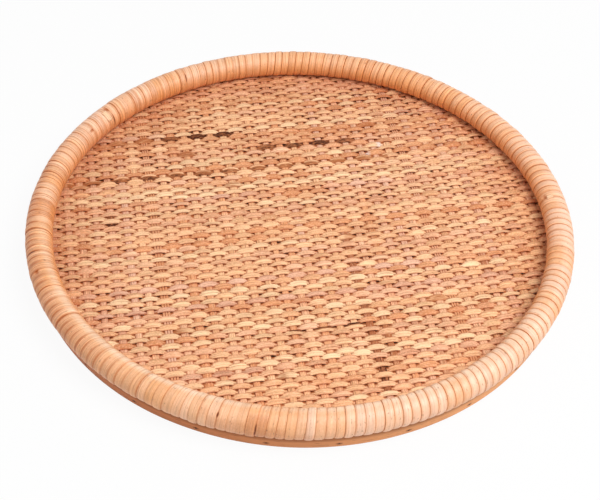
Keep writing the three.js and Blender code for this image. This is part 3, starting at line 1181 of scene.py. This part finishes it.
def cane_shades(turn, angle):
    """The cane's tone: each turn's own, then stained stretches and the browner left face. Painted light makes
    the crest pale, most of all inside at the front and on the right, and painted shade makes the inner side
    amber low down."""
    tone = by_turn(turn_tone, turn)
    around = np.degrees(angle) % 360
    from_outside = (around + 90) % 360 - 90
    azimuth = np.degrees(turn_angle * np.floor(turn))
    for (start, end), (low, high), stretch_tone, share in toned_stretches:
        inside = (azimuth > start) & (azimuth < end)
        cover = plateau(from_outside, low, low + toned_fade, high - toned_fade, high)
        tone = mixed(tone, stretch_tone, share * inside * cover)
    tone = mixed(tone, cane_left_face, left_face_strength * left_face_share(turn, angle))
    front = facing(np.radians(azimuth), inner_crest_azimuth)
    front = front * (1 - front_stain_strength * bump(azimuth, front_stain, front_stain_reach))
    tone = mixed(tone, inner_crest_light, inner_crest_light_strength * front * plateau(around, *inner_crest))
    tone = mixed(tone, cane_amber_shade, amber_shade_strength * plateau(around, *amber_shade_side))
    painted_sheen = crest_sheen_strength + lit_crest_sheen_strength * facing(turn_angle * turn, sheen_azimuth)
    return mixed(tone, crest_sheen_pale, painted_sheen * bump(around, crest_angle, crest_reach))


def cane_run(first_turn):
    """One length of cane, wound on from the given turn, as a run for swept_piece. Each ring goes over the
    cane's crown from the last turn's side to the next one's, and back along the pole by two points."""
    rings = turns_per_length * turn_steps + 1
    turn = np.linspace(first_turn, first_turn + turns_per_length, rings)
    turn[0] += tucked_end
    turn[-1] -= tucked_end
    angle = 2 * math.pi * turn - math.pi / 2
    middle = turn_azimuth(turn)
    next_edge = (middle + turn_azimuth(turn + 1)) / 2
    last_edge = (middle + turn_azimuth(turn - 1)) / 2
    next_gaping, next_seam, next_opening = seam_after(turn)
    last_gaping, last_seam, last_opening = seam_after(turn - 1)
    to_next = np.maximum(-cane_across, 0)[None, :]
    to_last = np.maximum(cane_across, 0)[None, :]
    azimuth = (
        middle[:, None]
        + to_next * (next_edge - next_opening - middle)[:, None]
        + to_last * (last_edge + last_opening - middle)[:, None]
    )
    next_side = cane_across[None, :] < 0
    seam = np.where(next_side, next_seam[:, None], last_seam[:, None])
    gaping = np.where(next_side, next_gaping[:, None], last_gaping[:, None])
    outer = np.abs(cane_across)[None, :]
    edge = climb(outer, *cane_edge) ** edge_power
    cut = marked(turn, cut_ends, cut_beside)[:, None] * climb(cane_across, *cut_across)[None, :]

    low = climb(-np.sin(angle), *low_side) * (np.cos(angle) > 0)
    sunward = facing(turn_angle * turn, 0)
    groove = cane_groove * (1 + low_groove * low + sunward_groove * sunward)[:, None] * seam
    sunk = groove * (crown_share * outer**2 + (1 - crown_share) * edge)
    above = cane_thickness + by_turn(turn_proud, turn)[:, None] - sunk
    above = np.maximum(above - cut_depth * cut, least_thickness)
    azimuth = np.concatenate([azimuth, azimuth[:, -1:], azimuth[:, :1]], axis=1)
    above = np.concatenate([above, np.zeros((rings, 2))], axis=1)
    section = rim_outline(turn, angle)[:, None, :] + above[..., None] * rim_outward(turn, angle)[:, None, :]
    radius = rim_radius + section[..., 0]
    height = rim_height + section[..., 1]
    points = np.stack([radius * np.cos(azimuth), radius * np.sin(azimuth), height], -1)
    across = np.concatenate([cane_across, [-1.0, 1.0]])
    place = np.stack(
        [
            np.broadcast_to((turn * turn_length)[:, None], azimuth.shape),
            np.broadcast_to(across[None, :], azimuth.shape),
            np.full(azimuth.shape, float(first_turn)),
        ],
        axis=-1,
    )

    left_face = left_face_share(turn, angle)[:, None]
    # The seam line: a dark joint and painted shade in the groove, wider and darker on the left face.
    line = climb(outer + left_line_widening * left_face, *seam_line)
    line_dark = np.clip(seam_dark * seam + left_seam_dark * left_face, 0, 1) * line
    wear_and_shade = np.zeros(points.shape)
    wear_and_shade[:, :-2, 0] = np.maximum(line_dark, cut_dark * cut)
    wear_and_shade[:, -2:, 0] = 1.0
    wear_and_shade[..., 1] = by_turn(turn_streak, turn)[:, None]
    # Painted shade in open gaps; browner seams on the left face.
    wear_and_shade[:, :-2, 2] = np.maximum(gap_shade * gaping, left_seam_browning * left_face * seam) * edge
    # Painted shade on the flanks of each turn, towards its seams.
    flank_shade = np.zeros(azimuth.shape)
    flank_shade[:, :-2] = flank_shade_strength * seam * climb(outer, *flank_shade_reach) ** edge_power
    tone = mixed(cane_shades(turn, angle)[:, None, :], cane_orange, flank_shade)
    return points, place, tone, wear_and_shade


cane_finish = split_rattan(
    "rim_cane",
    groove_orange,
    cane_blush,
    fibre_stretch=(25, 2.6, 13.7),
    mottling=0.22,
    dullness=0.36,
    gloss=0.6,
    splits=0.14,
    flecks=0.45,
    lines=1.1,
)
for length in range(cane_lengths):
    run = cane_run(length * turns_per_length)
    cane = swept_piece(f"wound_cane_{length + 1}", [run], cane_finish, turns_per_length)
    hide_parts(f"cane_winding_{length + 1}")

# Cane ends
# Where one length of cane gives way to the next, a short square-cut end of the old one lies on the turns,
# pressed flat and rubbed paler than the cane round it. Two such ends show on the rim.
end_thickness = 0.0007
end_steps = 9
end_pale = np.array((0.94, 0.60, 0.36))

# The azimuth of each end, the angles round the section that it lies between, and its width
cane_ends = ((7.3, 99, 127, 0.0033), (147.0, 98, 150, 0.0042))


def cane_end(azimuth, start, end, width):
    """A short stretch of cane at an azimuth of the rim, between two angles round its section."""
    around = np.radians(np.linspace(start, end, end_steps))
    outward = np.array([math.cos(azimuth), math.sin(azimuth), 0.0])
    ups = np.cos(around)[:, None] * outward + np.sin(around)[:, None] * straight_up
    sides = np.broadcast_to((math.sin(azimuth), -math.cos(azimuth), 0.0), ups.shape)
    middles = outward * rim_radius + straight_up * rim_height + ups * cane_crown
    line = (middles, sides, ups)
    tone = np.broadcast_to(end_pale, ups.shape)
    return strip_run(line, np.full(end_steps, width), end_thickness, weaver_section, start, tone)


end_runs = [cane_end(math.radians(azimuth), start, end, width) for azimuth, start, end, width in cane_ends]
ends = swept_piece("cane_ends", end_runs, cane_finish)

# Light and camera
# Soft studio light: a wide lamp high on the right, two weaker ones on the left, and an even white room.
# The camera looks down at the tray from the front with a long lens, tipped a little to one side.
room_light = 0.40

# The place, width and power of each lamp
lamps = {
    "key_lamp": ((0.54, -0.36, 1.05), 0.8, 12.0),
    "fill_lamp": ((-0.6, -1.1, 0.8), 1.0, 1.5),
    "side_lamp": ((-0.9, 0.3, 0.75), 1.0, 1.6),
}
lamp_aim = Vector((0, 0, 0.01))
for name, (lamp_spot, size, power) in lamps.items():
    lamp_data = bpy.data.lights.new(name, "AREA")
    lamp_data.shape = "DISK"
    lamp_data.size = size
    lamp_data.energy = power
    lamp = bpy.data.objects.new(name, lamp_data)
    lamp.location = lamp_spot
    lamp.rotation_euler = (lamp_aim - Vector(lamp_spot)).to_track_quat("-Z", "Y").to_euler()
    scene.collection.objects.link(lamp)

room = bpy.data.worlds.new("white_room")
room.use_nodes = True
room_look = Shading(room.node_tree, "World")
room_lit = room_look.node("Background", {}, {"Color": pure_white, "Strength": room_light})
room_seen = room_look.node("Background", {}, {"Color": pure_white, "Strength": 1.0})
room_share = room_look.background_share()
room_look.surface(room_look.node("MixShader", {}, {0: room_share, 1: room_lit, 2: room_seen}))
scene.world = room
scene.view_settings.view_transform = "Standard"

view_lens = 78
view_drop = math.radians(44.436)
view_roll = math.radians(2.1365)
view_distance = 0.7563
view_target = Vector((0.0003, -0.0198, 0.0096))
nearest_seen = 0.01
forward = Vector((0, math.cos(view_drop), -math.sin(view_drop)))
level = Vector((1, 0, 0))
upright = Vector((0, math.sin(view_drop), math.cos(view_drop)))
rightward = level * math.cos(view_roll) + upright * math.sin(view_roll)
upward = upright * math.cos(view_roll) - level * math.sin(view_roll)
camera_spot = view_target - forward * view_distance
camera_data = bpy.data.cameras.new("photo_camera")
camera_data.lens = view_lens
camera_data.clip_start = nearest_seen
camera = bpy.data.objects.new("photo_camera", camera_data)
camera_rows = [(rightward[row], upward[row], -forward[row], camera_spot[row]) for row in range(3)]
camera.matrix_world = Matrix(camera_rows + [(0, 0, 0, 1)])
scene.collection.objects.link(camera)
scene.camera = camera
